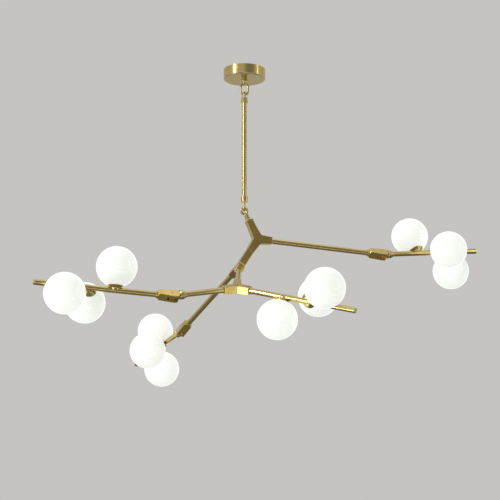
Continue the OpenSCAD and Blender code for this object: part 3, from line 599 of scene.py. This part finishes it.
def fork(at):
    """Outlines in the YZ plane at stations along X. Each runs from the cheeks' round end along both
    sides, which taper from the hinge to the ring, no wider than the cone at the ring allows at that
    X. Between the cheeks it starts at the slot's root. At both ends in X the outline is drawn in by
    the rim's rounding, then to a screw hole's circle, and the hole is sunk."""
    reach, ear, cheek, half_y, half_x = 0.024, 0.016, 0.0043, 0.015, 0.0125
    end_y, slot_root, flat_z, end_z, rim, between = 0.010, 0.0135, 0.033, 0.041, 0.0007, 1e-6
    corner = math.hypot(half_x, half_y) + 0.001
    swing = np.linspace(0, math.asin(half_y / ear), 15)
    round_z = ear - reach - ear * np.cos(swing)
    to_hinge, to_cone = np.linspace(round_z[-1], 0, 6)[1:], np.linspace(0, flat_z, 12)[1:]
    side_z = np.concatenate([round_z, to_hinge, to_cone, np.linspace(flat_z, end_z, 12)[1:]])
    tapered = half_y + (end_y - half_y) * side_z[20:] / end_z
    side_y = np.concatenate([ear * np.sin(swing), np.full(5, half_y), tapered])
    across = np.linspace(1, 0, 7)[1:]

    def outline(x, drawn_in=0.0):
        """One station's outline, drawn in towards a point on the knuckle's middle line."""
        limit = flat_z + (end_z - flat_z) * min(1, (corner - abs(x)) / (corner - ring_r))
        z = np.minimum(side_z, limit)
        cone = np.where(z < flat_z, corner, corner - (corner - ring_r) * (z - flat_z) / (end_z - flat_z))
        y = np.minimum(side_y, np.sqrt(np.maximum(cone ** 2 - x ** 2, 0)))
        y, z = np.append(y, y[-1] * across), np.append(z, np.full(6, limit))
        if abs(x) < cheek:
            z = np.maximum(z, slot_root)
        y, z = np.append(y, -y[-2::-1]), np.append(z, z[-2::-1])
        if drawn_in:
            middle = 0.006
            away = np.hypot(y, z - middle)
            y, z = y * (1 - drawn_in / away), middle + (z - middle) * (1 - drawn_in / away)
        return np.stack([0 * y + x, y, z], -1)

    stations = np.concatenate([
        np.linspace(rim - half_x, -cheek, 10),
        np.linspace(between - cheek, cheek - between, 9),
        np.linspace(cheek, half_x - rim, 10),
    ])
    rows = [outline(x) for x in stations]
    edge = [np.zeros(len(rows[0])) for x in stations]
    a = np.linspace(0, math.pi / 2, 5)[1:]
    for side, hole, sunk in ((-1, 0.00305, 0.0004), (1, 0.00455, 0.0025)):
        ends = [outline(side * (half_x - rim + rim * math.sin(t)), rim * (1 - math.cos(t))) for t in a]
        ends.append(outline(side * half_x, rim + guard))
        away = np.hypot(ends[-1][:, 1], ends[-1][:, 2])[:, None]
        direction = ends[-1] * (0, 1, 1) / away
        ends += [direction * hole + (side * (half_x - deep), 0, 0) for deep in (0, sunk)]
        ends.append(0 * ends[-1] + (side * (half_x - sunk), 0, 0))
        values = [value + np.zeros(len(rows[0])) for value in (1, 1, 1, 1, 0, 0.6, 0, 0)]
        rows = ends[::-1] + rows if side < 0 else rows + ends
        edge = values[::-1] + edge if side < 0 else edge + values
    points = np.stack(rows)
    uv = np.stack([points[..., 2], points[..., 0] + points[..., 1]], -1)
    return points @ at[:3, :3].T + at[:3, 3], uv, np.stack(edge)


cone_start_r, cone_start, cone_end, rod_seat = 0.010, 0.0395, 0.041, 0.0415
ring = rounded(
    [(0, cone_start), (cone_start_r, cone_start), (ring_r, cone_end), (ring_r, half_l), (rod_r, half_l),
     (rod_r, rod_seat), (0, rod_seat)],
    [0, 0, 0.0004, 0.0008, 0.0002, 0, 0], closed=False,
)
for side, at in forks.items():
    sheets = [fork(at), turned(ring, at)]
    piece(side + "_fork_block", sheets, milled_shaded_brass, fork_bodies[side], "champagne_brass", side + "_fork")

# ---- Knuckle screws ----
# The copper-coloured hinge screw through both cheeks and the tongue, tightened until the knuckle
# is stiff, and a headless screw in each half of a knuckle that holds its rod.
grub_r, grub_l, chamfer, socket_r, socket_l, grub_inset = 0.002, 0.0038, 0.0002, 0.0011, 0.0015, 0.008


def grub_screw(z, at):
    """A headless screw across a knuckle's wall along X at height z. At the socket's two stations the
    circle becomes a hexagon."""
    angle = np.linspace(0, 2 * math.pi, 49)
    sixth = math.pi / 3
    hexagon = socket_r * math.cos(sixth / 2) / np.cos((angle + sixth / 2) % sixth - sixth / 2)
    end_r, side_r = grub_r - chamfer + 0 * angle, grub_r + 0 * angle
    radius = np.stack([0 * angle, end_r, side_r, side_r, end_r, hexagon, hexagon, 0 * angle])
    bottom, top = (0, 0, chamfer), (grub_l - chamfer, grub_l, grub_l, grub_l - socket_l, grub_l - socket_l)
    height = np.array([*bottom, *top])[:, None] + 0 * angle
    seat = at @ move(0, 0, z) @ turn("Y", -90) @ move(0, 0, rod_r)
    points = np.stack([radius * np.cos(angle), radius * np.sin(angle), height], -1)
    uv = np.stack([height, angle * grub_r + 0 * height], -1)
    return points @ seat[:3, :3].T + seat[:3, 3], uv, 0 * angle + (height > grub_l - 1.5 * chamfer)


hinge_r, hinge_end, hinge_head, hinge_overlap = 0.003, -0.0124, 0.010, 0.0002
hinge_top = hinge_head + hinge_overlap
hinge_shank = rounded(
    [(0, hinge_end), (hinge_r, hinge_end), (hinge_r, hinge_top), (0, hinge_top)],
    [0, 0.0003, 0, 0], closed=False, steps=3,
)
held = {}
for side, at in forks.items():
    across = at @ turn("Y", 90)
    screws = slotted_head(0.0045, 0.0025, 0.0012, across @ move(0, 0, hinge_head) @ turn("Z", 20))
    held[side] = screws + [turned(hinge_shank, across, 40), grub_screw(half_l - grub_inset, at)]
tongue_grubs = {side: [grub_screw(grub_inset - half_l, at)] for side, at in tongues.items()}
frame_screws = held["right"] + held["rear"] + tongue_grubs["left"]
piece("frame_hinge_and_grubs", frame_screws, copper, "frame_body", "copper", "frame_knuckle_screws")
piece("left_hinge_and_grub", held["left"], copper, "left_branch", "copper", "left_knuckle_screws")
piece("right_outer_grub", tongue_grubs["right"], copper, "right_branch", "copper", "right_grub_screw")
piece("rear_outer_grub", tongue_grubs["rear"], copper, "rear_branch", "copper", "rear_grub_screw")

# ---- Outer rods and end caps ----
# Drawn brass tubes that carry the globes, each closed by a small chamfered cap at its tip. The
# front one stands straight on the third hub, and the others enter the ends of their knuckles.
front_at = arm(hub_3, right_arm) @ move(0, 0, arm_l)
rows = {
    "front": (front_at, 0.348, "frame_body"),
    "right": (outward["right"] @ move(0, 0, half_l), 0.332, "right_branch"),
    "rear": (outward["rear"] @ move(0, 0, half_l), 0.332, "rear_branch"),
    "left": (outward["left"] @ move(0, 0, half_l), 0.352, "left_branch"),
}
plug_l, cap_side, cap_l, cap_slope = 0.006, 0.003, 0.005, 0.002
cap = rounded(
    [(0, -plug_l), (bore_r, -plug_l), (bore_r, 0), (rod_r, 0), (rod_r, cap_side),
     (rod_r - cap_slope, cap_l), (0, cap_l)],
    [0, 0.0004, 0, 0.0003, 0.0005, 0.0006, 0], closed=False,
)
for side, (at, length, body_name) in rows.items():
    start, rod_node = (0, "front_rod") if side == "front" else (-entry, side + "_outer_rod")
    piece(
        side + "_globe_tube", [tube(rod_r, bore_r, start, length, at)],
        drawn_brass, body_name, "champagne_brass", rod_node,
    )
    piece(
        side + "_tip_cap", [turned(cap, at @ move(0, 0, length), 48)],
        turned_brass, body_name, "champagne_brass", side + "_end_cap",
    )

# ---- Holders ----
# A shallow spun brass bowl on each place of a globe, brazed to the rod on a short saddle. Its
# inside follows the glass, and its floor takes the globe's neck.
reach, globe_r, glass_gap, pitch, tip = 0.069, 0.060, 0.0001, 0.076, 0.080
bowl_rim_r, bowl_lip, bowl_floor, bowl_foot_r = 0.0235, 0.0012, 0.0101, 0.0145
neck_hole_r, saddle_r = 0.0156, 0.012
globe_turns = {"front": -30.5, "right": -73.5, "rear": 134.5, "left": 49}
r = np.linspace(neck_hole_r, bowl_rim_r, 9)
bowl_line = np.stack([r, reach - np.sqrt((globe_r + glass_gap) ** 2 - r ** 2)], -1)
outside = rounded(
    [bowl_line[-1], (bowl_rim_r + bowl_lip, bowl_line[-1, 1]), (bowl_foot_r, 0.0076), (saddle_r, 0.0058),
     (saddle_r, 0), (0, 0)],
    [0, 0.0005, 0.003, 0.002, 0.0004, 0], closed=False,
)
holder = (
    np.concatenate([[(0, bowl_floor), (neck_hole_r, bowl_floor)], bowl_line[:-1], outside[0]]),
    np.concatenate([np.zeros(10), outside[1]]),
)
spots = {}
for side, (at, length, body_name) in rows.items():
    spots[side] = [
        at @ move(0, 0, length - tip - pitch * (2 - i)) @ turn("Z", globe_turns[side] + 120 * i) @ turn("Y", 90)
        for i in range(3)
    ]
    piece(
        side + "_holder_bowls", [turned(holder, spot) for spot in spots[side]],
        turned_brass, body_name, "champagne_brass", side + "_holders",
    )

# ---- Lampholders and bulbs ----
# A small porcelain lampholder stands in each bowl inside the globe, with a frosted two-pin bulb.
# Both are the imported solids, and the opal glass hides them.
porcelain = plain("glazed_porcelain", (0.78, 0.77, 0.73), (0.84, 0.83, 0.80), 0.16, 0, 260, 0.1)
frosted = plain("frosted_bulb_glass", (0.80, 0.80, 0.76), (0.88, 0.88, 0.84), 0.5, 0, 700, 0.15)
frosted.node_tree.nodes["Principled BSDF"].inputs["Emission Color"].default_value = (1, 0.97, 0.90, 1)
frosted.node_tree.nodes["Principled BSDF"].inputs["Emission Strength"].default_value = 2
dress(porcelain, *(side + "_sockets" for side in rows))
dress(frosted, *(side + "_bulbs" for side in rows))

# ---- Globes ----
# Twelve blown opal-glass globes with a short neck that stands in the bowl. Lit from inside, they
# glow evenly, a little less towards the neck.
inner_r, neck_out, neck_in = globe_r - 0.0022, 0.0155, 0.013
down_outside = np.linspace(0, math.pi - math.asin(neck_out / globe_r), 73)
up_inside = np.linspace(math.pi - math.asin(neck_in / inner_r), 0, 49)
over = np.linspace(0, math.pi, 9)
outer_line = np.stack([globe_r * np.sin(down_outside), reach + globe_r * np.cos(down_outside)], -1)
inner_line = np.stack([inner_r * np.sin(up_inside), reach + inner_r * np.cos(up_inside)], -1)
neck_mid, neck_half = (neck_out + neck_in) / 2, (neck_out - neck_in) / 2
lip = np.stack([neck_mid + neck_half * np.cos(over), bowl_floor + neck_half * 0.5 * (1 - np.sin(over))], -1)
globe_line = np.concatenate([outer_line, lip, inner_line])
globe = globe_line, np.zeros(len(globe_line))

opal = bpy.data.materials.new("opal_glass")
opal.use_nodes = True
tree = opal.node_tree
shader = tree.nodes["Principled BSDF"]
place = add(tree, "TexCoord")
along = add(tree, "SeparateXYZ", {0: place.outputs["UV"]})
near_neck = add(
    tree, "MapRange",
    {"Value": along.outputs[0], "From Min": 0.09, "From Max": 0.17, "To Min": 1, "To Max": 0.82},
    interpolation_type="SMOOTHSTEP",
)
milk = add(tree, "TexNoise", {"Vector": place.outputs["Object"], "Scale": 24, "Detail": 3})
cloudy = add(
    tree, "MapRange",
    {"Value": milk.outputs[0], "From Min": 0.3, "From Max": 0.7, "To Min": 0.97, "To Max": 1.0},
)
glow = add(tree, "Math", {0: near_neck.outputs[0], 1: cloudy.outputs[0]}, operation="MULTIPLY")
glow = add(tree, "Math", {0: glow.outputs[0], 1: 0.74}, operation="MULTIPLY")
tint = add(
    tree, "Mix", {0: milk.outputs[0], 6: (0.62, 0.66, 0.61, 1), 7: (0.68, 0.71, 0.67, 1)}, data_type="RGBA")
ripple = add(tree, "Bump", {"Height": milk.outputs[0], "Strength": 0.05, "Distance": 0.0004})
shader.inputs["Emission Color"].default_value = (0.98, 1.0, 0.95, 1)
shader.inputs["Roughness"].default_value = 0.12
tree.links.new(tint.outputs[2], shader.inputs["Base Color"])
tree.links.new(glow.outputs[0], shader.inputs["Emission Strength"])
tree.links.new(ripple.outputs[0], shader.inputs["Normal"])
for side, (at, length, body_name) in rows.items():
    for i, spot in enumerate(spots[side]):
        piece(
            f"{side}_opal_globe_{i + 1}", [turned(globe, spot, 96)],
            opal, body_name, "opal_glass", f"{side}_globe_{i + 1}",
        )
